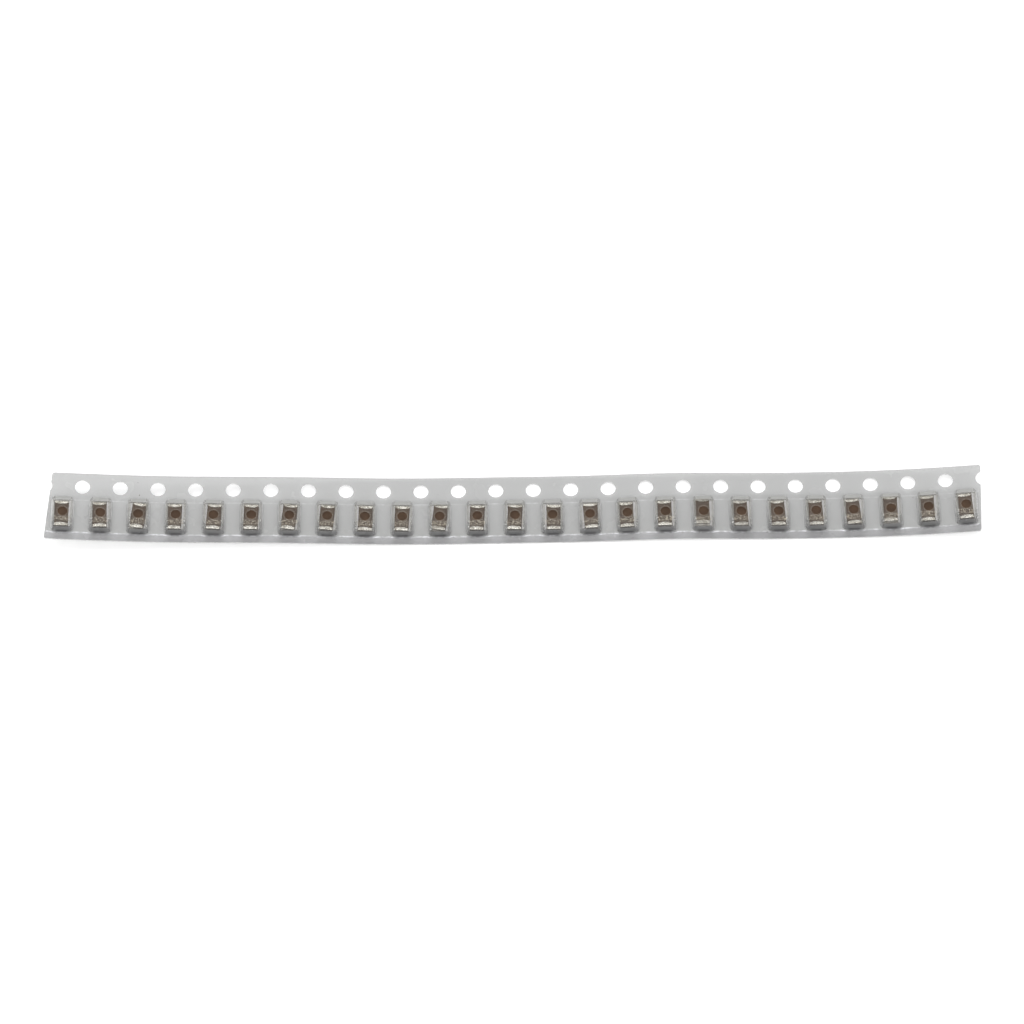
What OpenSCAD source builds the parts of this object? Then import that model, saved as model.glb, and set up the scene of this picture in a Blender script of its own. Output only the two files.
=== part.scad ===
// Cut strip of 8 mm embossed carrier tape that holds one chip capacitor in each pocket.
// The strip lies as it comes to rest: on its cover film, with the pockets standing up.
// X runs along the tape, Y across it towards the sprocket holes, and Z up.
// The origin is under the middle of the strip, on the surface that it lies on.
// Millimetres and degrees.

/* [Carrier tape] */
// Width of the tape
tape_w = 8; // [7.8:0.1:12]
// Thickness of the flat tape
tape_t = 0.25; // [0.15:0.01:0.35]
// Number of pockets in the strip
pocket_count = 25; // [7:2:27]
// Distance from pocket to pocket, and from sprocket hole to sprocket hole
pitch = 4; // [3.6:0.1:8]

/* [Sprocket holes] */
// Diameter of a sprocket hole
sprocket_d = 1.6; // [1.3:0.05:1.7]
// From the far edge of the tape to the line of the sprocket holes
sprocket_edge = 1.65; // [1.4:0.05:1.9]
// From the line of the sprocket holes to the line of the pockets
pocket_line = 3.5; // [3.4:0.05:4]

/* [Pockets] */
// Free play of a chip across its pocket, along the tape
play_w = 0.4; // [0.2:0.01:0.6]
// Free play of a chip along its pocket, across the tape
play_l = 0.45; // [0.2:0.01:0.5]
// Free height between a chip and the pocket's floor
headroom = 0.12; // [0.05:0.01:0.4]
// Thickness of the drawn wall of a pocket
pocket_wall = 0.11; // [0.08:0.01:0.16]
// Lean of a pocket's walls
draft = 6; // [3:0.5:9]
// Inner radius of a pocket's upright corners, at its floor
pocket_r = 0.22; // [0.14:0.01:0.3]
// Inner radius round a pocket's floor
floor_r = 0.1; // [0.05:0.01:0.14]
// Radius where a pocket's walls leave the flat tape
flare_r = 0.12; // [0.06:0.01:0.2]
// Diameter of the hole in a pocket's floor
peep_d = 1.07; // [0.7:0.01:1.2]

/* [Cover film] */
// Thickness of the cover film
film_t = 0.06; // [0.03:0.01:0.1]
// From the sprocket holes to the film's far edge
film_hole_gap = 0.08; // [0.02:0.01:0.2]
// From the near edge of the tape to the film's near edge
film_edge_gap = 0.12; // [0.05:0.01:0.3]

/* [Chips] */
// Length of a chip over its terminals
chip_l = 3.05; // [2.9:0.05:3.4]
// Width of a chip
chip_w = 1.6; // [1.4:0.05:1.7]
// Thickness of a chip
chip_t = 1; // [0.8:0.05:1.3]
// Radius of a chip's edges
chip_r = 0.1; // [0.06:0.01:0.13]
// Thickness of the metal of a terminal
metal_t = 0.03; // [0.02:0.005:0.05]
// Length of a terminal's band, in the middle of a face
band_l = 0.5; // [0.3:0.05:0.8]
// Radius of the bow in a terminal's inner edge
band_bow = 2; // [2:0.5:8]
// Gap between a chip and the film that it lies on
film_gap = 0.01; // [0.005:0.005:0.03]

/* [Cut ends] */
// Flat tape left outside the first pocket, at the middle of the pocket
left_land = 0.42; // [0.35:0.01:0.6]
// Flat tape left outside the last pocket, at the middle of the pocket
right_land = 0.34; // [0.3:0.01:0.6]
// How far the left cut runs out of square across the tape
left_skew = 0.6; // [0:0.05:0.8]
// How far the right cut runs out of square across the tape
right_skew = 0.45; // [0:0.05:0.6]
// Radius of the four corners of the strip
cut_r = 0.3; // [0.1:0.05:0.5]

/* [Rest shape] */
// Distance from the middle of the strip at which the left end starts to curl up
left_flat = 6; // [4:1:12]
// Rise of the left end
left_rise = 2.7; // [0:0.1:4]
// Distance from the middle at which the right end starts to curl up
right_flat = 33; // [28:1:40]
// Rise of the right end
right_rise = 1.1; // [0:0.1:2]
// Middle of the long low wave in the left half, measured from the middle of the strip
left_wave_x = 25; // [20:1:30]
// Half the length of the left wave
left_wave_l = 15; // [10:1:18]
// Height of the left wave
left_wave_h = 0.35; // [0:0.05:0.6]
// Middle of the wave in the right half
right_wave_x = 17; // [16:1:22]
// Half the length of the right wave
right_wave_l = 11; // [8:1:11]
// Height of the right wave
right_wave_h = 0.35; // [0:0.05:0.6]

/* [Hidden] */
// How each chip lies in its pocket: the share of the largest turn that the pocket allows
// (plus is anticlockwise from above), and the shares of the side and end play that the turn leaves.
CHIP_LIES = [
    [0, -0.6, -0.6],
    [0.3, -0.65, -0.6],
    [-0.95, 0, -0.6],
    [-0.15, -0.95, -0.6],
    [-0.5, 0.4, -0.6],
    [-0.25, -0.3, -0.6],
    [-0.85, -0.5, -0.6],
    [-0.65, -0.5, -0.6],
    [-0.35, 0.65, -0.6],
    [-0.4, -0.4, -0.6],
    [-0.95, 0, -0.2],
    [-0.35, -0.2, -0.5],
    [-0.4, -0.2, -0.6],
    [-0.1, 0.65, -0.9],
    [0.4, 0.9, -0.6],
    [0.25, -0.9, -0.7],
    [0.15, -0.6, -0.4],
    [0.05, -0.65, 0.5],
    [0.35, -0.6, -0.6],
    [0.35, -0.5, -0.6],
    [0.35, -0.45, -0.7],
    [0.55, -0.5, -0.6],
    [0, -0.45, 0.3],
    [0.1, -0.85, -0.5],
    [0.4, -0.7, -0.6],
];

// Two digits of a chip's number
function two_digits(n) = str(n < 10 ? "0" : "", n);
function chip_name(i) = str("chip_", two_digits(i + 1));

EPS = 0.02; // overrun of a cut past the face that it opens
ARC_STEPS = 3; // straight steps in a pocket's small roundings
ROUND_FN = 48;

// Lines across the tape
far_y = tape_w / 2;
near_y = -tape_w / 2;
sprocket_y = far_y - sprocket_edge;
pocket_y = sprocket_y - pocket_line;
film_far_y = sprocket_y - sprocket_d / 2 - film_hole_gap;
film_near_y = near_y + film_edge_gap;

// Pocket: the inner floor is the chip with its play, and the walls lean out below it
floor_w = chip_w + play_w;
floor_l = chip_l + play_l;
pocket_depth = film_gap + chip_t + headroom;
core_w = floor_w / 2 - pocket_r;
core_l = floor_l / 2 - pocket_r;
outer_r = pocket_r + pocket_wall / cos(draft) - pocket_wall * tan(draft);
outer_top = pocket_depth + pocket_wall;
outer_floor_r = floor_r + pocket_wall;
base_w = core_w + outer_r + (outer_top - tape_t) * tan(draft);

// The tape follows a chain of straight cells, one for each pocket, hinged at the sprocket holes
strip_half = pocket_count * pitch / 2;
function curl(past, span, rise) = past <= 0 ? 0 : rise * pow(past / span, 2);
function wave(off, half, rise) = abs(off) >= half ? 0 : rise * (1 + cos(180 * off / half)) / 2;
function lift(s) = curl(-s - left_flat, strip_half - left_flat, left_rise)
    + curl(s - right_flat, strip_half - right_flat, right_rise)
    + wave(s + left_wave_x, left_wave_l, left_wave_h)
    + wave(s - right_wave_x, right_wave_l, right_wave_h);
hinge_lift = [for (j = [0 : pocket_count]) lift(j * pitch - strip_half)];
cell_tilt = [for (i = [0 : pocket_count - 1]) asin((hinge_lift[i + 1] - hinge_lift[i]) / pitch)];
function run(j) = j == 0 ? 0 : run(j - 1) + pitch * cos(cell_tilt[j - 1]);
hinge_run = [for (j = [0 : pocket_count]) run(j)];

// Tilt of the tape at a hinge, and half of the bend there
last_cell = pocket_count - 1;
function tilt_before(j) = cell_tilt[max(j - 1, 0)];
function tilt_after(j) = cell_tilt[min(j, last_cell)];
hinge_tilt = [for (j = [0 : pocket_count]) (tilt_before(j) + tilt_after(j)) / 2];
hinge_bend = [for (j = [0 : pocket_count]) (tilt_after(j) - tilt_before(j)) / 2];

// The cuts: tails reach from the outer pockets' middles to the cut, on the pocket line
left_tail = base_w + left_land;
right_tail = base_w + right_land;
function skew_at(y, skew) = skew * (y - pocket_y) / tape_w;
left_end = pitch / 2 - left_tail + skew_at(near_y, left_skew);
right_end = hinge_run[pocket_count] - pitch / 2 + right_tail + skew_at(far_y, right_skew);
middle_x = (left_end + right_end) / 2;

// Hinges on the plane where film and tape meet, and the middle of each cell
hinge = [for (j = [0 : pocket_count]) [hinge_run[j] - middle_x, film_t + hinge_lift[j]]];
cell_middle = [for (i = [0 : last_cell]) (hinge[i] + hinge[i + 1]) / 2];
first_x = cell_middle[0][0];
last_x = cell_middle[last_cell][0];

// Reach of a cut that passes through the whole strip, above and below the film's underside
through = max([for (h = hinge) h[1]]) + outer_top + tape_t;

// Side view of the surface at a height above that plane, run past both cuts
function along(tilt) = [cos(tilt), sin(tilt)];
function above(tilt) = [-sin(tilt), cos(tilt)];
function side_line(height) = concat(
    [hinge[0] - pitch * along(cell_tilt[0]) + height * above(cell_tilt[0])],
    [for (j = [0 : pocket_count]) hinge[j] + height / cos(hinge_bend[j]) * above(hinge_tilt[j])],
    [hinge[pocket_count] + pitch * along(cell_tilt[last_cell]) + height * above(cell_tilt[last_cell])]
);
function reversed(list) = [for (k = [len(list) - 1 : -1 : 0]) list[k]];

// Sheet that follows the rest shape between two heights and two lines across the tape
module sheet(low, high, near, far) {
    translate([0, far, 0])
        rotate([90, 0, 0])
            linear_extrude(height = far - near)
                polygon(concat(side_line(low), reversed(side_line(high))));
}

// Outline of the strip from above, between its two cuts
function corner(centre, from) = [
    for (k = [0 : ARC_STEPS])
        centre + cut_r * [cos(from + 90 * k / ARC_STEPS), sin(from + 90 * k / ARC_STEPS)]
];
function left_cut(y) = first_x - left_tail + skew_at(y, left_skew);
function right_cut(y) = last_x + right_tail + skew_at(y, right_skew);
module strip_outline() {
    polygon(concat(
        corner([right_cut(far_y - cut_r) - cut_r, far_y - cut_r], 0),
        corner([left_cut(far_y - cut_r) + cut_r, far_y - cut_r], 90),
        corner([left_cut(near_y + cut_r) + cut_r, near_y + cut_r], 180),
        corner([right_cut(near_y + cut_r) - cut_r, near_y + cut_r], 270)
    ));
}

module cut_to_length() {
    intersection() {
        children();
        translate([0, 0, -through])
            linear_extrude(height = 2 * through)
                strip_outline();
    }
}

// Places its child in a cell: origin on the film, under the middle of the pocket
module in_cell(i) {
    translate([cell_middle[i][0], pocket_y, cell_middle[i][1]])
        rotate([0, -cell_tilt[i], 0])
            children();
}

// A leaning wall in section, [distance from the pocket's core, height], with a rounding at its top
function wall_line(r, top, height) = r + (top - height) * tan(draft);
function rounded_top(r, top, edge) = [
    for (k = [0 : ARC_STEPS])
        let (a = draft + (90 - draft) * k / ARC_STEPS)
            [r + edge * (tan(draft) - 1 / cos(draft) + cos(a)), top - edge * (1 - sin(a))]
];

// The hollow's wall, from just below the tape up to the floor's inner face
hollow_wall = concat(
    [[wall_line(pocket_r, pocket_depth, -EPS), -EPS]],
    rounded_top(pocket_r, pocket_depth, floor_r)
);

// The outer wall, from inside the tape's thickness, through the flare, up to the floor's outer face
flare_foot = tape_t - EPS;
flare_mid = wall_line(outer_r, outer_top, flare_foot + flare_r) + flare_r / cos(draft);
flare = [
    for (k = [0 : ARC_STEPS - 1])
        let (a = 270 - (90 - draft) * k / (ARC_STEPS - 1))
            [flare_mid + flare_r * cos(a), flare_foot + flare_r * (1 + sin(a))]
];
shell_wall = concat(
    [[flare[0][0], tape_t / 2]],
    flare,
    rounded_top(outer_r, outer_top, outer_floor_r)
);

// Block with the given wall on all four sides and round its upright corners
module walled_block(wall) {
    low = wall[0][1];
    top = wall[len(wall) - 1][1];
    function both_sides(half) = concat(
        [for (p = wall) [half + p[0], p[1]]],
        [for (p = reversed(wall)) [-half - p[0], p[1]]]
    );
    rotate([90, 0, 0])
        linear_extrude(height = 2 * core_l, center = true)
            polygon(both_sides(core_w));
    rotate([90, 0, 90])
        linear_extrude(height = 2 * core_w, center = true)
            polygon(both_sides(core_l));
    for (side = [0 : 3]) {
        right = side == 0 || side == 3 ? 1 : -1;
        up = side < 2 ? 1 : -1;
        translate([right * core_w, up * core_l, 0])
            rotate([0, 0, 90 * side])
                rotate_extrude(angle = 90, $fn = ROUND_FN)
                    polygon(concat([[0, low]], wall, [[0, top]]));
    }
}

module pocket_shell() {
    walled_block(shell_wall);
}

module pocket_hollow() {
    walled_block(hollow_wall);
    translate([0, 0, pocket_depth - floor_r - EPS])
        cylinder(h = pocket_wall + floor_r + 2 * EPS, d = peep_d, $fn = ROUND_FN);
}

// Sprocket holes, square to the tape at each hinge; the cuts pass through the first and the last
module sprocket_holes() {
    for (j = [0 : pocket_count])
        translate([hinge[j][0], sprocket_y, hinge[j][1]])
            rotate([0, -hinge_tilt[j], 0])
                cylinder(h = 4 * tape_t, d = sprocket_d, center = true, $fn = ROUND_FN);
}

// Carrier tape: one thin sheet with the pockets drawn up out of it
module carrier_tape() {
    color("gainsboro", 0.5)
        difference() {
            union() {
                cut_to_length()
                    sheet(0, tape_t, near_y, far_y);
                for (i = [0 : last_cell])
                    in_cell(i) pocket_shell();
            }
            for (i = [0 : last_cell])
                in_cell(i) pocket_hollow();
            sprocket_holes();
        }
}

// Clear film sealed under the tape, over all the pockets and clear of the sprocket holes
module cover_film() {
    color("white", 0.4)
        cut_to_length()
            sheet(-film_t, 0, film_near_y, film_far_y);
}

// Places its child in a pocket as its chip lies there: origin in the middle of the chip
side_play = (play_w + 2 * headroom * tan(draft)) / 2;
end_play = play_l / 2;
module as_chip_lies(i) {
    lie = CHIP_LIES[i % len(CHIP_LIES)];
    turn = lie[0] * asin(2 * side_play / chip_l);
    side = lie[1] * side_play * (1 - abs(lie[0]));
    end = lie[2] * (end_play - chip_w / 2 * abs(sin(turn)));
    in_cell(i)
        translate([side, end, film_gap + chip_t / 2])
            rotate([0, 0, turn])
                children();
}

// Rectangle with rounded corners, about the origin
module rounded_rect(w, h, r) {
    square([w - 2 * r, h], center = true);
    square([w, h - 2 * r], center = true);
    for (x = [-1, 1], y = [-1, 1])
        translate([x * (w / 2 - r), y * (h / 2 - r)])
            circle(r = r, $fn = ROUND_FN);
}

// Block with all of its edges rounded, about the origin
module rounded_block(w, l, h, r) {
    intersection() {
        linear_extrude(height = h, center = true)
            rounded_rect(w, l, r);
        rotate([90, 0, 0])
            linear_extrude(height = l, center = true)
                rounded_rect(w, h, r);
        rotate([90, 0, 90])
            linear_extrude(height = w, center = true)
                rounded_rect(l, h, r);
    }
}

// Ceramic body of a chip, under the metal of its terminals
module ceramic() {
    rounded_block(chip_w - 2 * metal_t, chip_l - 2 * metal_t, chip_t - 2 * metal_t, chip_r - metal_t);
}

module chip_body(i) {
    color("saddlebrown")
        as_chip_lies(i)
            ceramic();
}

// Terminals: a metal cap over each end of the body, with an inner edge that bows out on each face
module chip_terminals(i) {
    color("silver")
        as_chip_lies(i)
            for (end = [-1, 1])
                intersection() {
                    difference() {
                        rounded_block(chip_w, chip_l, chip_t, chip_r);
                        ceramic();
                    }
                    translate([0, end * (chip_l / 2 - band_l + band_bow), 0])
                        sphere(r = band_bow, $fn = 2 * ROUND_FN);
                }
}

carrier_tape();
cover_film();
for (i = [0 : last_cell]) {
    chip_body(i);
    chip_terminals(i);
}
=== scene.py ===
"""A cut strip of clear carrier tape, with a chip capacitor in each pocket, on a white table."""

import math

import bmesh
import bpy
from mathutils import Matrix, Vector, noise
from mathutils.geometry import delaunay_2d_cdt


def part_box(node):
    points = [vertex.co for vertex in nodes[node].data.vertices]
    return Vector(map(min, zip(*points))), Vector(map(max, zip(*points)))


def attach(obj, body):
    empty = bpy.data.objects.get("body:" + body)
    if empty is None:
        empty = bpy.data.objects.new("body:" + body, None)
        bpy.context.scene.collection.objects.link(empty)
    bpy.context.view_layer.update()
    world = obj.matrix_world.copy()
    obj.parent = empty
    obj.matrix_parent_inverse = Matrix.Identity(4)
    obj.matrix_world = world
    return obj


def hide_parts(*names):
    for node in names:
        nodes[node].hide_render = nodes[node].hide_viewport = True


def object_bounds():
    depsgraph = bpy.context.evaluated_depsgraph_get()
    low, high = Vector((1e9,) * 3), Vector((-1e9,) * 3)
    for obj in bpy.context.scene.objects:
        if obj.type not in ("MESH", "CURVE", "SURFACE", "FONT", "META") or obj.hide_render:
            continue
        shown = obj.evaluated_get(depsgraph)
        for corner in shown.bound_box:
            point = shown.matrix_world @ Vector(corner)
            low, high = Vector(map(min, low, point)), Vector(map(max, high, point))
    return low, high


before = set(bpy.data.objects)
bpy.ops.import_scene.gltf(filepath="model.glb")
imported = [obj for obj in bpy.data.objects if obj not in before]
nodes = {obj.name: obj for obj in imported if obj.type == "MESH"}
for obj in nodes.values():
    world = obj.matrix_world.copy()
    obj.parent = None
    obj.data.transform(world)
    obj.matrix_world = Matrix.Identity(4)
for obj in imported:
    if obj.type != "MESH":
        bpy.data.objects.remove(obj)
cad_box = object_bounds()
scene = bpy.context.scene

MM = 0.001

# Sizes of the tape, in millimetres, as its solids have them.
# CORE_W and CORE_L reach from a pocket's middle to the centres of its corner arcs.
TAPE_W = 8.0
TAPE_T = 0.25
FILM_T = 0.06
PITCH = 4.0
SPROCKET_R = 0.8
SPROCKET_Y = 2.35
POCKET_Y = -1.15
PEEP_R = 0.535
CORE_W = 0.78
CORE_L = 1.53
POCKET_R = 0.22
POCKET_DEPTH = 1.13
WALL = 0.11
FLOOR_R = 0.1
FLARE_R = 0.12
DRAFT = math.radians(6)
OUTER_TOP = POCKET_DEPTH + WALL
OUTER_R = POCKET_R + WALL / math.cos(DRAFT) - WALL * math.tan(DRAFT)
CUT_R = 0.3
FAR_Y = TAPE_W / 2
NEAR_Y = -TAPE_W / 2

# Marks of the heated shoes that seal the film: two low ridges beside the pockets
SEAL_FAR_Y = 0.75
SEAL_NEAR_Y = -3.14
SEAL_DIP = 0.09  # how far the near ridge bows out beside a pocket
SEAL_DIP_REACH = 1.4  # the bow starts this far along the tape from a pocket's middle
SEAL_DIP_EASE = 0.5  # and is full this much nearer
SEAL_FAR_SHARE = 0.3  # share of the bow that the far ridge has
SEAL_STRENGTHS = (0.25, 1.0)  # of the far and the near ridge
SEAL_H = 0.02
SEAL_W = 0.065  # half the width of a ridge
SEAL_ROWS = (-0.11, -0.055, 0, 0.055, 0.11)  # rows of points that carry a ridge, from its line
SEAL_STEP = 0.22  # distance between the points of a row
SEAL_CLEAR = 0.3  # no loose points this near a ridge

# Surface detail, in millimetres
BURR_H = 0.018  # height of the burr round a floor's hole
BURR_W = 0.05  # its width, and its distance from the hole
CRINKLE_TOP = 0.012  # depth of the crinkle on a floor's outer face
CRINKLE_BELOW = 0.008  # and on its inner face
MOUTH_R = 0.06  # chamfer round a pocket's mouth
FILM_GAP = 0.004  # from the film to the tape above it
FILM_CORNER = 0.06

# Fineness of the meshes: distances in millimetres, and numbers of steps
EDGE_STEP = 0.5
GRID = 0.9
CORNER_STEPS = 6
ACROSS_STEPS = 6
DOWN_STEPS = 8
FLARE_STEPS = 5
WALL_STEPS = 5
INNER_WALL_STEPS = 4
ROUND_STEPS = 6  # in the rounding of a floor's outer edge
INNER_ROUND_STEPS = 4
CUT_STEPS = 5
HOLE_POINTS = 40
SHARP_ANGLE = math.radians(35)  # edges that turn more than this stay sharp
FLOOR_SHARES = (0.25, 0.5, 0.72, 0.86, 0.95, 1.0)  # rings from a floor's edge to its hole
POCKET_CLEAR = 1.15  # no loose points this near a pocket's middle
HOLE_CLEAR = 0.12  # or this near a sprocket hole
SAME = 0.01  # places closer than this are the same
NEARLY = 0.05  # slack in finding the ends of the cuts
KEYS_PER_MM = 5  # points of the film's line that share a key are one hinge


# ---------------------------------------------------------------- the tape's rest shape


def between(a, b, steps, count):
    """Points from a towards b: the first to the count-th of so many steps."""
    return [(a[0] + (b[0] - a[0]) * k / steps, a[1] + (b[1] - a[1]) * k / steps) for k in range(1, count + 1)]


def film_line():
    """The hinges of the CAD film's chain of straight cells, as (x, z) in millimetres, one every pitch."""
    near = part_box("cover_film")[0].y
    points = {}
    for v in nodes["cover_film"].data.vertices:
        if abs(v.co.y - near) < SAME * MM:
            key = round(v.co.x / MM * KEYS_PER_MM)
            points[key] = max(points.get(key, (0, -1)), (v.co.x / MM, v.co.z / MM), key=lambda p: p[1])
    line = [points[k] for k in sorted(points)]
    # Level stretches have no points of their own between their ends
    full = [line[0]]
    for a, b in zip(line, line[1:]):
        steps = max(1, round(math.dist(a, b) / PITCH))
        full += between(a, b, steps, steps)
    return full


def tape_hinges():
    """All the hinges, with the two that the cuts pass through set a whole pitch from their neighbours."""
    line = [Vector(p) for p in film_line()]
    inner = line[1:-1]
    first = inner[0] + (line[0] - inner[0]).normalized() * PITCH
    last = inner[-1] + (line[-1] - inner[-1]).normalized() * PITCH
    return [first, *inner, last]


HINGES = tape_hinges()
CELLS = len(HINGES) - 1
MIDDLES = [(a + b) / 2 for a, b in zip(HINGES, HINGES[1:])]


def along(s):
    """Point and direction at s millimetres along the tape, on a smooth curve through every cell's middle."""
    t = s / PITCH
    j = min(max(math.floor(t + 0.5), 1), CELLS - 1)
    a, h, b = MIDDLES[j - 1], HINGES[j], MIDDLES[j]
    u = t - (j - 0.5)
    if u < 0:
        way = (h - a) * 2
        return a + way * u, way.normalized()
    if u > 1:
        way = (b - h) * 2
        return b + way * (u - 1), way.normalized()
    point = a * (1 - u) ** 2 + h * 2 * u * (1 - u) + b * u**2
    return point, ((h - a) * (1 - u) + (b - h) * u).normalized()


def bent(s, y, w):
    """Row coordinates, in metres, of a place on the flat tape, w millimetres above its underside."""
    point, way = along(s)
    return Vector((point.x - way.y * w, y, point.y + way.x * w)) * MM


# ---------------------------------------------------------------- outlines on the flat tape


def arc(cx, cy, r, start, end, steps):
    angles = [start + (end - start) * k / steps for k in range(steps + 1)]
    return [(cx + r * math.cos(a), cy + r * math.sin(a)) for a in angles]


def strip_ends():
    """Where the two cuts cross the tape, as functions of y that give s."""
    tape = nodes["carrier_tape"].data.vertices
    ends = []
    for side, cell in ((-1, 0), (1, CELLS - 1)):
        line = []
        for y in (FAR_Y, NEAR_Y):
            edge = [v.co.x / MM for v in tape if abs(v.co.y / MM - y) < CUT_R + NEARLY and side * v.co.x > 0]
            line.append(side * max(side * x for x in edge))
        way = (HINGES[cell + 1] - HINGES[cell]).normalized().x
        here = [(cell + 0.5) * PITCH + (x - MIDDLES[cell].x) / way for x in line]
        far_y, near_y = FAR_Y - CUT_R, NEAR_Y + CUT_R
        ends.append(lambda y, a=here[0], b=here[1]: b + (a - b) * (y - near_y) / (far_y - near_y))
    return ends


LEFT, RIGHT = strip_ends()


def strip_outline(far=FAR_Y, near=NEAR_Y, r=CUT_R):
    """The cut strip's outline, anticlockwise, with points every half millimetre along its long edges."""
    steps = round(PITCH * CELLS / EDGE_STEP)
    quarter = math.pi / 2
    out = arc(LEFT(near + r) + r, near + r, r, 2 * quarter, 3 * quarter, CUT_STEPS)
    start, end = out[-1][0], RIGHT(near + r) - r
    out += [(start + (end - start) * k / steps, near) for k in range(1, steps)]
    out += arc(end, near + r, r, -quarter, 0, CUT_STEPS)
    out += arc(RIGHT(far - r) - r, far - r, r, 0, quarter, CUT_STEPS)
    start, end = out[-1][0], LEFT(far - r) + r
    out += [(start + (end - start) * k / steps, far) for k in range(1, steps)]
    out += arc(end, far - r, r, quarter, 2 * quarter, CUT_STEPS)
    return out


def rounded_ring(r):
    """Rounded rectangle round a pocket's middle, anticlockwise, always with as many points."""
    out = []
    for cx, cy, start, sides, to in (
        (CORE_W, CORE_L, 0, ACROSS_STEPS, (-CORE_W, CORE_L + r)),
        (-CORE_W, CORE_L, 90, DOWN_STEPS, (-CORE_W - r, -CORE_L)),
        (-CORE_W, -CORE_L, 180, ACROSS_STEPS, (CORE_W, -CORE_L - r)),
        (CORE_W, -CORE_L, 270, DOWN_STEPS, (CORE_W + r, CORE_L)),
    ):
        out += arc(cx, cy, r, math.radians(start), math.radians(start + 90), CORNER_STEPS)
        out += between(out[-1], to, sides, sides - 1)
    return out


def inside(p, polygon):
    hit = False
    for a, b in zip(polygon, polygon[1:] + polygon[:1]):
        if (a[1] > p[1]) != (b[1] > p[1]) and p[0] < a[0] + (b[0] - a[0]) * (p[1] - a[1]) / (b[1] - a[1]):
            hit = not hit
    return hit


def smooth_step(x):
    x = min(max(x, 0.0), 1.0)
    return x * x * (3 - 2 * x)


def seal_lines(s):
    """y of the far and the near seal mark: both bow toward the near edge beside a pocket."""
    from_pocket = abs((s / PITCH) % 1 - 0.5) * PITCH
    dip = SEAL_DIP * smooth_step((SEAL_DIP_REACH - from_pocket) / SEAL_DIP_EASE)
    return SEAL_FAR_Y - SEAL_FAR_SHARE * dip, SEAL_NEAR_Y - dip


def seal_press(s, y):
    """How strongly the shoes marked a place, from 0 to about 1, a little unevenly along the tape."""
    press = 0.0
    for k, (line, strength) in enumerate(zip(seal_lines(s), SEAL_STRENGTHS)):
        off = abs(y - line) / SEAL_W
        if off < 3:
            uneven = 0.75 + 0.6 * noise.noise(Vector((s * 1.7, 3.1 * k, 0.5)))
            press += strength * uneven * math.exp(-off * off)
    return press


# ---------------------------------------------------------------- meshes


def flat_region(outline, holes, lines=()):
    """Triangles over an outline with holes left open: (points, triangles).

    A hole is (ring, (centre, reach)), and no loose points lie within reach of its centre. The lines
    are rows of points that the triangles follow.
    """
    points, edges = [], []

    def loop(ring, closed=True):
        first = len(points)
        points.extend(ring)
        count = len(ring)
        edges.extend((first + k, first + (k + 1) % count) for k in range(count if closed else count - 1))

    loop(outline)
    for ring, _ in holes:
        loop(ring)
    for line in lines:
        loop(line, closed=False)
    left, right = min(p[0] for p in outline), max(p[0] for p in outline)
    low, high = min(p[1] for p in outline), max(p[1] for p in outline)
    rows = max(1, round((high - low) / GRID))
    columns = round((right - left) / GRID)
    for r in range(1, rows):
        for c in range(1, columns):
            p = (left + (right - left) * (c + 0.5 * (r % 2)) / columns, low + (high - low) * r / rows)
            near_hole = any(math.dist(p, centre) < reach for _, (centre, reach) in holes)
            near_line = lines and any(abs(p[1] - y) < SEAL_CLEAR for y in (SEAL_FAR_Y, SEAL_NEAR_Y))
            if not near_hole and not near_line and inside(p, outline):
                points.append(p)
    flat, _, faces, *_ = delaunay_2d_cdt([Vector(p) for p in points], edges, [], 0, 1e-5)
    kept = []
    for f in faces:
        middle = sum((flat[i] for i in f), Vector((0, 0))) / len(f)
        if not inside(middle, outline):
            continue
        if any(abs(middle.x - c[0]) < PITCH and inside(middle, ring) for ring, (c, _) in holes):
            continue
        a, b, c = (flat[i] for i in f)
        kept.append(f if (b - a).cross(c - a) > 0 else [f[0], f[2], f[1]])
    return flat, kept


class Skin:
    """A mesh in the making, on the flat tape's coordinates. Each point keeps its place in its cell in mm:
    how far aside of the pocket's middle line, how far toward the holes and how high over the tape's underside.
    """

    def __init__(self):
        self.bm = bmesh.new()
        self.cell = self.bm.verts.layers.float_vector.new("cell")
        self.seal = self.bm.verts.layers.float.new("seal")

    def point(self, s, y, w):
        v = self.bm.verts.new(bent(s, y, w))
        i = min(max(math.floor(s / PITCH), 0), CELLS - 1)
        v[self.cell] = (abs(s - (i + 0.5) * PITCH), y - POCKET_Y, w)
        if TAPE_T <= w < TAPE_T + 2 * SEAL_H:
            v[self.seal] = seal_press(s, y)
        return v

    def face(self, *verts):
        kept = [v for k, v in enumerate(verts) if v not in verts[:k]]
        if len(kept) > 2 and not self.bm.faces.get(kept):
            return self.bm.faces.new(kept)
        return None

    def join(self, ring_a, ring_b):
        """Quads from ring a to ring b; both anticlockwise, facing out of a's side."""
        count = len(ring_a)
        for k in range(count):
            n = (k + 1) % count
            self.face(ring_a[k], ring_a[n], ring_b[n], ring_b[k])

    def finish(self, name):
        bmesh.ops.remove_doubles(self.bm, verts=self.bm.verts, dist=1e-8)
        bmesh.ops.recalc_face_normals(self.bm, faces=self.bm.faces)
        mesh = bpy.data.meshes.new(name)
        self.bm.to_mesh(mesh)
        self.bm.free()
        mesh.shade_smooth()
        mesh.set_sharp_from_angle(angle=SHARP_ANGLE)
        obj = bpy.data.objects.new(name, mesh)
        scene.collection.objects.link(obj)
        return obj


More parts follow.
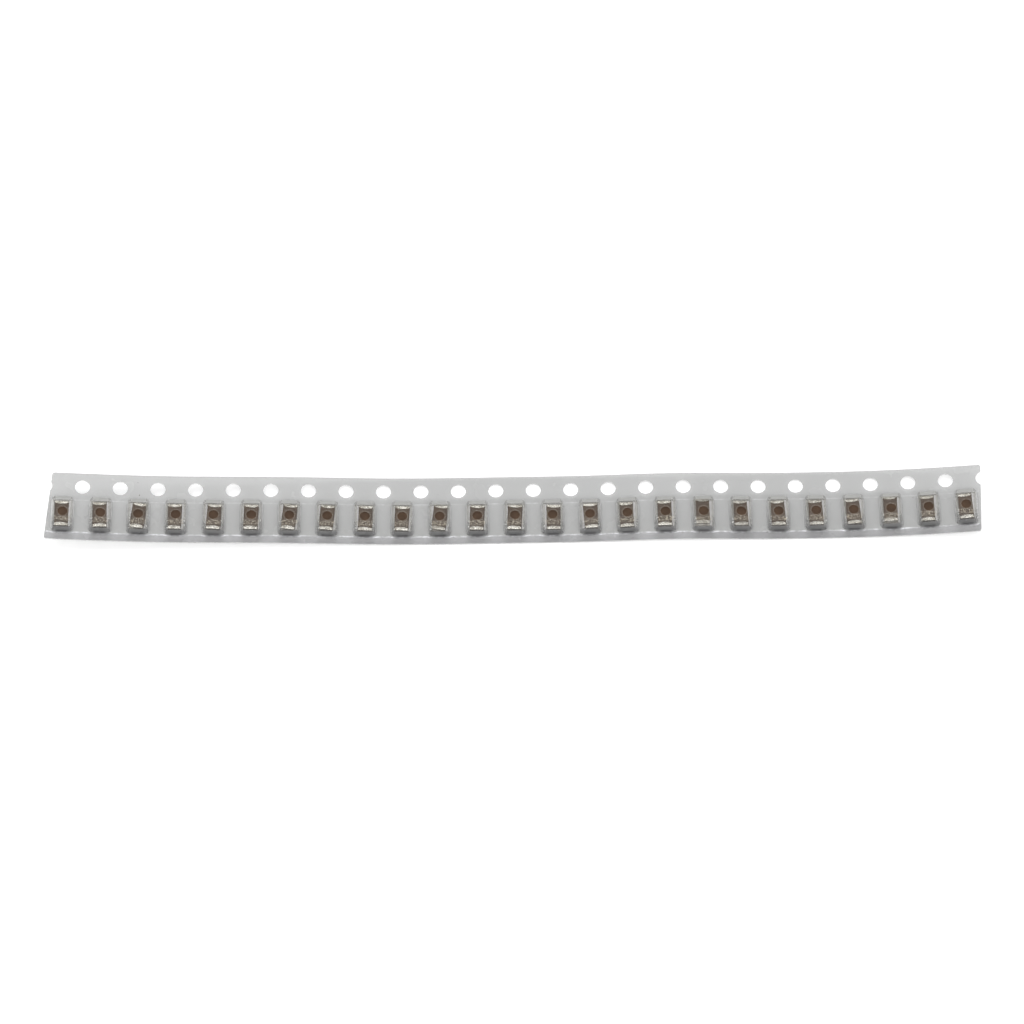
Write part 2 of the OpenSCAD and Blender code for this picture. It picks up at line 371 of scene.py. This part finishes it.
def sheet_skin(skin, w_low, w_high, outline, holes_low, holes_high, lines=()):
    """The two faces of a thin sheet with holes, without the walls between them.

    Gives back (edges of its rims, vertices by place) for each face, the low one first, and the
    vertices of each hole's ring as {index: [low ring, high ring]}.
    """
    sides = []
    rings = {}
    for w, holes, up in ((w_low, holes_low, False), (w_high, holes_high, True)):
        flat, faces = flat_region(outline, holes, lines if up else ())
        lift = (lambda s, y: w + SEAL_H * seal_press(s, y)) if up and lines else (lambda s, y: w)
        used = {}
        for f in faces:
            for i in f:
                if i not in used:
                    used[i] = skin.point(flat[i].x, flat[i].y, lift(flat[i].x, flat[i].y))
            skin.face(*([used[i] for i in f] if up else [used[i] for i in reversed(f)]))
        edges = [edge for f in faces for edge in zip(f, [*f[1:], f[0]])]
        shared = set(edges)
        rim = [(used[a], used[b]) for a, b in edges if (b, a) not in shared]
        where = {(round(flat[i].x, 4), round(flat[i].y, 4)): v for i, v in used.items()}
        sides.append((rim, where))
        for number, (ring, _) in enumerate(holes):
            found = [where.get((round(x, 4), round(y, 4))) for x, y in ring]
            rings.setdefault(number, []).append(found)
    return sides, rings


CUT_SLOT = 1  # material slot of a sheet's cut and punched edges


def wall(skin, sides, taken):
    """Upright faces between the rims of the two sides, apart from those whose points are taken by pockets."""
    (rim, low), (_, high) = sides
    at = {v: xy for xy, v in low.items()}
    for a, b in rim:
        if a in taken or b in taken:
            continue
        c, d = high.get(at[b]), high.get(at[a])
        if c and d:
            skin.face(b, a, d, c).material_index = CUT_SLOT


def wall_line(r, top, height):
    """A leaning wall's distance from the core at a height, where it would be r away at the top."""
    return r + (top - height) * math.tan(DRAFT)


def rounded_top(r, top, edge, steps):
    """Section of the rounding, of radius edge, from a leaning wall to the floor."""
    out = []
    for k in range(steps + 1):
        a = DRAFT + (math.pi / 2 - DRAFT) * k / steps
        away = r + edge * (math.tan(DRAFT) - 1 / math.cos(DRAFT) + math.cos(a))
        out.append((away, top - edge * (1 - math.sin(a))))
    return out


def outer_profile():
    """Section of the pocket's outside, (distance from its core, height), from the tape up to the floor."""
    mid = wall_line(OUTER_R, OUTER_TOP, TAPE_T + FLARE_R) + FLARE_R / math.cos(DRAFT)
    flare = []
    for k in range(FLARE_STEPS + 1):
        a = math.radians(270) - (math.pi / 2 - DRAFT) * k / FLARE_STEPS
        flare.append((mid + FLARE_R * math.cos(a), TAPE_T + FLARE_R * (1 + math.sin(a))))
    top = rounded_top(OUTER_R, OUTER_TOP, FLOOR_R + WALL, ROUND_STEPS)
    wall_points = []
    for k in range(1, WALL_STEPS):
        height = flare[-1][1] + (top[0][1] - flare[-1][1]) * k / WALL_STEPS
        wall_points.append((wall_line(OUTER_R, OUTER_TOP, height), height))
    return flare + wall_points + top


def inner_profile():
    """Section of the pocket's hollow, from the film up to the floor's inner face."""
    foot = wall_line(POCKET_R, POCKET_DEPTH, 0)
    out = [(foot + MOUTH_R, 0.0), (foot + 0.3 * MOUTH_R, 0.3 * MOUTH_R)]
    top = rounded_top(POCKET_R, POCKET_DEPTH, FLOOR_R, INNER_ROUND_STEPS)
    for k in range(INNER_WALL_STEPS):
        height = MOUTH_R + (top[0][1] - MOUTH_R) * k / INNER_WALL_STEPS
        out.append((wall_line(POCKET_R, POCKET_DEPTH, height), height))
    return out + top


def floor_rings(first, top, burr):
    """Rings from a floor's edge to its round hole, as lists of (x, y, height), with a low burr at the hole."""
    round_ring = []
    for x, y in first:
        a = math.atan2(y, x)
        round_ring.append((PEEP_R * math.cos(a), PEEP_R * math.sin(a)))
    rings = []
    for share in FLOOR_SHARES:
        ring = []
        for (x0, y0), (x1, y1) in zip(first, round_ring):
            x, y = x0 + (x1 - x0) * share, y0 + (y1 - y0) * share
            edge = math.hypot(x, y) - PEEP_R
            ring.append((x, y, top + burr * math.exp(-((edge - BURR_W) / BURR_W) ** 2)))
        rings.append(ring)
    return rings


def crinkle(x, y, seed, deep):
    """The floor's uneven surface, as the forming left it: shallow at the far end, deeper at the near end."""
    near = smooth_step((0.2 - y) / 1.2)
    p = Vector((x * 3.2, y * 3.2, seed * 7.3))
    return deep * (0.35 + 0.65 * near) * noise.fractal(p, 0.9, 2.1, 3)


def pocket(skin, i, mouth_low, mouth_high):
    """One drawn pocket, from its ring on the tape's top to its ring on the film's side."""
    s0 = (i + 0.5) * PITCH

    def place(ring, height):
        return [skin.point(s0 + x, POCKET_Y + y, height) for x, y in ring]

    def place_floor(ring, deep):
        return [skin.point(s0 + x, POCKET_Y + y, z + crinkle(x, y, i, deep)) for x, y, z in ring]

    last = mouth_high
    for r, height in outer_profile()[1:]:
        ring = place(rounded_ring(r), height)
        skin.join(last, ring)
        last = ring
    for ring in floor_rings(rounded_ring(outer_profile()[-1][0]), OUTER_TOP, BURR_H):
        made = place_floor(ring, CRINKLE_TOP)
        skin.join(last, made)
        last = made
    hole_top = last
    last = mouth_low
    for r, height in inner_profile()[1:]:
        ring = place(rounded_ring(r), height)
        skin.join(ring, last)
        last = ring
    for ring in floor_rings(rounded_ring(inner_profile()[-1][0]), POCKET_DEPTH, 0.0):
        made = place_floor(ring, CRINKLE_BELOW)
        skin.join(made, last)
        last = made
    skin.join(hole_top, last)


def make_carrier():
    skin = Skin()
    high_r, low_r = outer_profile()[0][0], inner_profile()[0][0]
    holes = {False: [], True: []}
    for up, r in ((False, low_r), (True, high_r)):
        for i in range(CELLS):
            s0 = (i + 0.5) * PITCH
            ring = [(s0 + x, POCKET_Y + y) for x, y in rounded_ring(r)]
            holes[up].append((ring, ((s0, POCKET_Y), POCKET_CLEAR)))
        for j in range(CELLS + 1):
            ring = arc(j * PITCH, SPROCKET_Y, SPROCKET_R, 0, 2 * math.pi, HOLE_POINTS)[:-1]
            holes[up].append((ring, ((j * PITCH, SPROCKET_Y), SPROCKET_R + HOLE_CLEAR)))
    # The ridges' rows of points, a little inside the cuts
    lines = []
    start, end = LEFT(NEAR_Y) + 0.2, RIGHT(FAR_Y) - 0.5
    steps = round((end - start) / SEAL_STEP)
    for k in (0, 1):
        for off in SEAL_ROWS:
            lines.append([])
            for n in range(steps + 1):
                s = start + (end - start) * n / steps
                y = seal_lines(s)[k] + off
                if LEFT(y) + 0.1 < s < RIGHT(y) - 0.1:
                    lines[-1].append((s, y))
    sides, rings = sheet_skin(skin, 0.0, TAPE_T, strip_outline(), holes[False], holes[True], lines)
    taken = {v for i in range(CELLS) for ring in rings[i] for v in ring if v}
    wall(skin, sides, taken)
    for i in range(CELLS):
        low, high = rings[i]
        pocket(skin, i, low, high)
    return skin.finish("carrier_tape_skin")


def make_film():
    skin = Skin()
    low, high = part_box("cover_film")
    outline = strip_outline(high.y / MM, low.y / MM, FILM_CORNER)
    sides, _ = sheet_skin(skin, -FILM_T, -FILM_GAP, outline, [], [])
    wall(skin, sides, set())
    return skin.finish("cover_film_skin")


# ---------------------------------------------------------------- materials

# Painted shade darkens the chips' colour over their rounded edges, this far from an edge
EDGE_SEARCH = 0.13 * MM  # how far from an edge a chip's colour darkens
TABLE_GLOW = 0.51
SKY_LOW, SKY_HIGH = 0.2, 0.85  # strength of the world's light at the horizon and overhead


def new_material(name):
    mat = bpy.data.materials.new(name)
    mat.use_nodes = True
    mat.node_tree.nodes.clear()
    return mat


def add(tree, kind, inputs=None, **settings):
    """A node with its settings, and its inputs by name or number set to a value or linked from a socket."""
    made = tree.nodes.new(kind)
    for key, value in settings.items():
        setattr(made, key, value)
    for key, value in (inputs or {}).items():
        if isinstance(value, bpy.types.NodeSocket):
            tree.links.new(value, made.inputs[key])
        else:
            made.inputs[key].default_value = value
    return made


def maths(tree, operation, a, b=0.0):
    return add(tree, "ShaderNodeMath", {0: a, 1: b}, operation=operation).outputs[0]


def ramp(tree, value, low, high, to_low=0.0, to_high=1.0):
    made = add(
        tree,
        "ShaderNodeMapRange",
        {"Value": value, "From Min": low, "From Max": high, "To Min": to_low, "To Max": to_high},
        interpolation_type="SMOOTHSTEP",
    )
    return made.outputs["Result"]


def blend_colour(tree, factor, a, b):
    made = tree.nodes.new("ShaderNodeMix")
    made.data_type = "RGBA"
    for key, value in ((0, factor), (6, a), (7, b)):
        if isinstance(value, bpy.types.NodeSocket):
            tree.links.new(value, made.inputs[key])
        else:
            made.inputs[key].default_value = value
    return made.outputs[2]


def place_on(tree):
    """The object's own coordinates, in metres."""
    return add(tree, "ShaderNodeTexCoord").outputs["Object"]


def grain(tree, where, scale, detail, rough=0.5):
    inputs = {"Vector": where, "Scale": scale, "Detail": detail, "Roughness": rough}
    return add(tree, "ShaderNodeTexNoise", inputs).outputs["Fac"]


def bump(tree, height, strength, distance):
    return add(tree, "ShaderNodeBump", {"Strength": strength, "Distance": distance, "Height": height}).outputs[0]


def painted_edge_shade(tree, colour, start, most, tint):
    """Painted shade: the colour, turned by up to most towards a darker tint over rounded edges."""
    edges = add(tree, "ShaderNodeBevel", {"Radius": EDGE_SEARCH}, samples=4).outputs[0]
    flat = add(tree, "ShaderNodeNewGeometry").outputs["Normal"]
    turned = add(tree, "ShaderNodeVectorMath", {0: edges, 1: flat}, operation="DOT_PRODUCT").outputs["Value"]
    return blend_colour(tree, ramp(tree, turned, start, 0.9, 0, most), colour, tint)


def background_seen(tree):
    """1 for the rays that show the background: the camera's, and those off gloss and through glass."""
    ray = add(tree, "ShaderNodeLightPath").outputs
    seen = maths(tree, "MAXIMUM", ray["Is Camera Ray"], ray["Is Glossy Ray"])
    return maths(tree, "MAXIMUM", seen, ray["Is Transmission Ray"])


def close(tree, shader):
    out = tree.nodes.new("ShaderNodeOutputMaterial")
    tree.links.new(shader, out.inputs["Surface"])


def principled(name, build):
    """A material whose surface is one Principled shader, with the inputs that build gives for its tree."""
    mat = new_material(name)
    close(mat.node_tree, add(mat.node_tree, "ShaderNodeBsdfPrincipled", build(mat.node_tree)).outputs[0])
    return mat


def tape_plastic(tree):
    """Clear thermoformed plastic: grey-clear on the flat, warmer in the drawn pockets, hazy with a painted sheen
    on the near floor; painted shade darkens the near side, the near walls and the gaps and margin below the
    pockets, and painted light brightens the far floor, the hole rims and the seal ridges.
    """
    where = place_on(tree)
    cell = add(tree, "ShaderNodeAttribute", attribute_name="cell").outputs["Vector"]
    seal = add(tree, "ShaderNodeAttribute", attribute_name="seal").outputs["Fac"]
    aside, far, height = add(tree, "ShaderNodeSeparateXYZ", {0: cell}).outputs
    graze = add(tree, "ShaderNodeLayerWeight", {"Blend": 0.5}).outputs["Facing"]
    cloud = grain(tree, where, 260, 3)
    fine = grain(tree, where, 2600, 3, 0.65)
    veins = grain(tree, where, 6500, 4, 0.7)
    dashes = grain(tree, where, 1500, 4, 0.7)
    specks = grain(tree, where, 2300, 2)

    def both(*masks):
        mask = masks[0]
        for other in masks[1:]:
            mask = maths(tree, "MULTIPLY", mask, other)
        return mask

    # Masks from a point's place in its cell. Each ramp starts at its first number and is full at its second,
    # in millimetres aside of the pocket's middle, from there toward the far edge, or over the underside.
    underside = ramp(tree, height, 0.2, 0.05)
    on_floor = ramp(tree, height, 1.08, 1.18)
    on_wall = both(ramp(tree, height, 0.26, 0.36), ramp(tree, height, 1.18, 1.08))
    beyond = ramp(tree, far, -1.65, -1.85)
    # Painted shade: the pocket walls darker toward the near side
    painted_near_wall_shade = both(on_wall, ramp(tree, far, 0.2, -1.4))
    # Painted shade: the near end wall darker still
    painted_end_wall_shade = both(on_wall, beyond, ramp(tree, aside, 1.2, 0.75))
    # Painted shade: a dark arch low on the near wall, where the chip's end lies in shade behind it
    painted_arch_shade = both(
        beyond,
        ramp(tree, aside, 0.85, 0.4),
        ramp(tree, height, 0.75, 0.35),
        ramp(tree, far, -2.2, -2.08),
    )
    # Painted shade: the near margin darker than the rest of the flange
    painted_near_margin_shade = ramp(tree, far, -1.9, -2.1)
    # Painted shadow: each pocket's shadow on the near margin below it
    painted_pocket_shadow = both(ramp(tree, far, -1.95, -2.05), ramp(tree, aside, 1.7, 0.5))
    over_chip = both(on_floor, ramp(tree, aside, 0.86, 0.78), ramp(tree, far, 1.4, 1.3))
    beside = both(on_floor, ramp(tree, aside, 0.78, 0.86))
    # Painted shade: the near part of the gap beside the chip darker still
    painted_near_gap_shade = both(beside, ramp(tree, far, -0.3, -1.2))
    # Painted light: the far end of the pocket floor lighter
    painted_far_floor_light = both(on_floor, ramp(tree, far, 1.3, 1.4))
    from_hole = maths(tree, "SQRT", maths(tree, "ADD", both(aside, aside), both(far, far)))
    # Painted highlight: a lighter ring on the burr round the floor's hole
    painted_hole_rim_light = both(over_chip, ramp(tree, from_hole, 0.66, 0.6))
    near_half = ramp(tree, far, -0.4, -0.75)
    # Milky haze and painted sheen: light patches of the crinkled floor over the chip's near half and beside it
    haze_and_sheen = both(over_chip, near_half, ramp(tree, far, -1.3, -1.1), ramp(tree, veins, 0.51, 0.57))
    haze_and_sheen_beside = both(beside, near_half, ramp(tree, veins, 0.54, 0.66))
    # Painted highlight: broken white glints along the seal ridges, weaker below the pockets
    painted_seal_glint = both(seal, ramp(tree, aside, 0.7, 1.2, 0.3, 1), ramp(tree, dashes, 0.4, 0.58, 0.25, 1))
    # Each zone: where it is, how much more or less solid it looks there, and its colour, which in many zones is
    # painted shade or painted light
    zones = (
        # Painted shade: the flange darker toward the near edge
        (ramp(tree, far, 0.8, -1.9), 0.0, (0.4, 0.402, 0.396, 1)),
        (painted_near_margin_shade, 0.0, (0.28, 0.282, 0.288, 1)),
        (painted_pocket_shadow, 0.0, (0.19, 0.19, 0.195, 1)),
        (on_wall, -0.5, (0.36, 0.36, 0.345, 1)),
        (painted_near_wall_shade, 0.17, (0.19, 0.19, 0.187, 1)),
        (painted_end_wall_shade, 0.28, (0.28, 0.28, 0.28, 1)),
        (painted_arch_shade, 0.15, (0.12, 0.12, 0.123, 1)),
        # Painted shade: a darker, warmer grey over the shaded gap beside the chip
        (beside, -0.3, (0.3, 0.292, 0.262, 1)),
        (painted_near_gap_shade, 0.13, (0.18, 0.178, 0.168, 1)),
        (painted_far_floor_light, -0.3, (0.52, 0.52, 0.5, 1)),
        (over_chip, -0.71, (0.14, 0.105, 0.075, 1)),
        (painted_hole_rim_light, 0.15, (0.33, 0.27, 0.21, 1)),
        (haze_and_sheen, 0.42, (0.66, 0.59, 0.46, 1)),
        (haze_and_sheen_beside, 0.3, (0.8, 0.8, 0.77, 1)),
        (painted_seal_glint, 0.7, (0.95, 0.96, 1, 1)),
        (ramp(tree, specks, 0.77, 0.8), 0.3, (0.1, 0.09, 0.08, 1)),
    )
    solid = maths(tree, "ADD", 0.79, maths(tree, "MULTIPLY", cloud, 0.04))
    solid = maths(tree, "ADD", solid, maths(tree, "MULTIPLY", underside, -0.69))
    solid = maths(tree, "ADD", solid, maths(tree, "MULTIPLY", ramp(tree, graze, 0.88, 1.0), 0.3))
    colour = (0.42, 0.422, 0.42, 1)
    for mask, amount, tint in zones:
        solid = maths(tree, "ADD", solid, maths(tree, "MULTIPLY", mask, amount))
        colour = blend_colour(tree, mask, colour, tint)
    return {
        "Base Color": colour,
        "Roughness": maths(tree, "ADD", 0.2, maths(tree, "MULTIPLY", cloud, 0.12)),
        "IOR": 1.57,
        "Alpha": maths(tree, "MINIMUM", maths(tree, "MAXIMUM", solid, 0.05), 0.95),
        "Normal": bump(tree, fine, 0.25, 0.02 * MM),
    }


def cut_plastic(tree):
    """Punched and cut edges of the tape: nearly clear, a little frosted."""
    frost = grain(tree, place_on(tree), 3000, 3, 0.6)
    return {
        "Base Color": (0.6, 0.6, 0.6, 1),
        "Roughness": 0.35,
        "Alpha": ramp(tree, frost, 0.3, 0.7, 0.12, 0.32),
        "Normal": bump(tree, frost, 0.4, 0.01 * MM),
    }


def film_plastic(tree):
    """Thin polyester cover film: nearly clear, with faint streaks along the tape."""
    stretched = add(tree, "ShaderNodeMapping", {"Vector": place_on(tree), "Scale": (60, 2200, 60)}).outputs[0]
    streaks = grain(tree, stretched, 1.0, 4)
    return {
        "Base Color": (0.38, 0.38, 0.37, 1),
        "Roughness": maths(tree, "ADD", 0.16, maths(tree, "MULTIPLY", streaks, 0.1)),
        "Alpha": maths(tree, "ADD", 0.08, maths(tree, "MULTIPLY", streaks, 0.1)),
        "Normal": bump(tree, streaks, 0.2, 0.01 * MM),
    }


def ceramic(tree):
    """Fired barium titanate: matt brown, faintly speckled, with painted shade over the rounded edges."""
    where = place_on(tree)
    mottle = grain(tree, where, 900, 4, 0.6)
    speck = grain(tree, where, 5200, 2, 0.7)
    colour = blend_colour(tree, ramp(tree, mottle, 0.35, 0.68), (0.06, 0.034, 0.019, 1), (0.09, 0.053, 0.031, 1))
    colour = blend_colour(tree, ramp(tree, speck, 0.6, 0.75, 0, 0.5), colour, (0.045, 0.029, 0.02, 1))
    return {
        "Base Color": painted_edge_shade(tree, colour, 0.995, 0.8, (0.02, 0.014, 0.01, 1)),
        "Roughness": maths(tree, "ADD", 0.5, maths(tree, "MULTIPLY", mottle, 0.2)),
        "Specular IOR Level": 0.2,
        "Normal": bump(tree, speck, 0.4, 0.01 * MM),
    }


def tin(tree):
    """Matt tin plating over a fired terminal: warm silver, slightly pebbled, duller in patches, with painted shade
    at the edges.
    """
    where = place_on(tree)
    pebble = grain(tree, where, 4200, 3, 0.6)
    patch = grain(tree, where, 2400, 3, 0.6)
    colour = blend_colour(tree, ramp(tree, patch, 0.38, 0.62), (0.78, 0.765, 0.7, 1), (0.42, 0.4, 0.345, 1))
    return {
        "Base Color": painted_edge_shade(tree, colour, 0.99, 0.75, (0.16, 0.15, 0.13, 1)),
        "Metallic": 1.0,
        "Roughness": maths(tree, "ADD", 0.1, maths(tree, "MULTIPLY", patch, 0.25)),
        "Normal": bump(tree, pebble, 0.5, 0.015 * MM),
    }


def table_top():
    """White table: pale diffuse that keeps the strip's shadow, lifted to pure white where it is looked at."""
    mat = new_material("table_white")
    tree = mat.node_tree
    matt = add(tree, "ShaderNodeBsdfDiffuse", {"Color": (0.88, 0.88, 0.88, 1), "Roughness": 0.9})
    strength = maths(tree, "MULTIPLY", background_seen(tree), TABLE_GLOW)
    glow = add(tree, "ShaderNodeEmission", {"Color": (1, 1, 1, 1), "Strength": strength})
    close(tree, add(tree, "ShaderNodeAddShader", {0: matt.outputs[0], 1: glow.outputs[0]}).outputs[0])
    return mat


# ---------------------------------------------------------------- the strip

carrier = make_carrier()
carrier.data.materials.append(principled("clear_tape", tape_plastic))
carrier.data.materials.append(principled("cut_edge", cut_plastic))
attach(carrier, "root")
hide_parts("carrier_tape")

film = make_film()
clear_film = principled("cover_film_clear", film_plastic)
film.data.materials.append(clear_film)
film.data.materials.append(clear_film)  # its cut edges look as its faces do
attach(film, "root")
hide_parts("cover_film")

chip_materials = {"body": principled("fired_ceramic", ceramic), "terminals": principled("tin_plate", tin)}
for name, obj in nodes.items():
    finish = chip_materials.get(name.split("_")[-1])
    if finish and name.startswith("chip_"):
        obj.data.materials.clear()
        obj.data.materials.append(finish)

# ---------------------------------------------------------------- table, light and camera

low, high = (Vector(p) for p in cad_box)
centre = (low + high) / 2

TABLE_REACH = 1.5
TABLE_GAP = 0.01 * MM

corners = [(x * TABLE_REACH, y * TABLE_REACH, low.z - TABLE_GAP) for x, y in ((-1, -1), (1, -1), (1, 1), (-1, 1))]
table_mesh = bpy.data.meshes.new("table")
table_mesh.from_pydata(corners, [], [(0, 1, 2, 3)])
table = bpy.data.objects.new("table", table_mesh)
table.data.materials.append(table_top())
scene.collection.objects.link(table)


def softbox(name, place, size, watts):
    data = bpy.data.lights.new(name, "AREA")
    data.shape = "RECTANGLE"
    data.size, data.size_y = size
    data.energy = watts
    obj = bpy.data.objects.new(name, data)
    obj.location = centre + Vector(place)
    obj.rotation_euler = (centre - obj.location).to_track_quat("-Z", "Y").to_euler()
    scene.collection.objects.link(obj)


softbox("key", (-0.08, 0.12, 0.8), (0.5, 0.35), 2.4)
softbox("fill", (0.35, -0.55, 0.55), (0.4, 0.3), 0.9)

world = bpy.data.worlds.new("studio")
scene.world = world
world.use_nodes = True
tree = world.node_tree
tree.nodes.clear()
overhead = add(tree, "ShaderNodeSeparateXYZ", {0: add(tree, "ShaderNodeTexCoord").outputs["Generated"]}).outputs[2]
strength = ramp(tree, overhead, 0.0, 1.0, SKY_LOW, SKY_HIGH)
plain = add(tree, "ShaderNodeBackground", {"Color": (1, 1, 1, 1), "Strength": strength})
shown = add(tree, "ShaderNodeBackground", {"Color": (1, 1, 1, 1), "Strength": 1.0})
sky = add(tree, "ShaderNodeMixShader", {0: background_seen(tree), 1: plain.outputs[0], 2: shown.outputs[0]})
out = tree.nodes.new("ShaderNodeOutputWorld")
tree.links.new(sky.outputs[0], out.inputs["Surface"])

ELEVATION = math.radians(61)
ROLL = math.radians(0.92)
DISTANCE = 0.42
LENS = 138.6
AIM_RIGHT = -0.33 * MM
AIM_UP = -0.1 * MM

lens = bpy.data.cameras.new("camera")
lens.lens = LENS
lens.sensor_width = 36
lens.clip_start = 0.01
camera = bpy.data.objects.new("camera", lens)
scene.collection.objects.link(camera)
back = Vector((0, -math.cos(ELEVATION), math.sin(ELEVATION)))
right = Vector((1, 0, 0))
up = back.cross(right)
turn = Matrix((right, up, back)).transposed() @ Matrix.Rotation(-ROLL, 3, "Z")
aim = Vector((centre.x, centre.y, low.z)) + turn @ Vector((AIM_RIGHT, AIM_UP, 0))
camera.matrix_world = Matrix.Translation(aim + back * DISTANCE) @ turn.to_4x4()
scene.camera = camera

scene.view_settings.view_transform = "Standard"
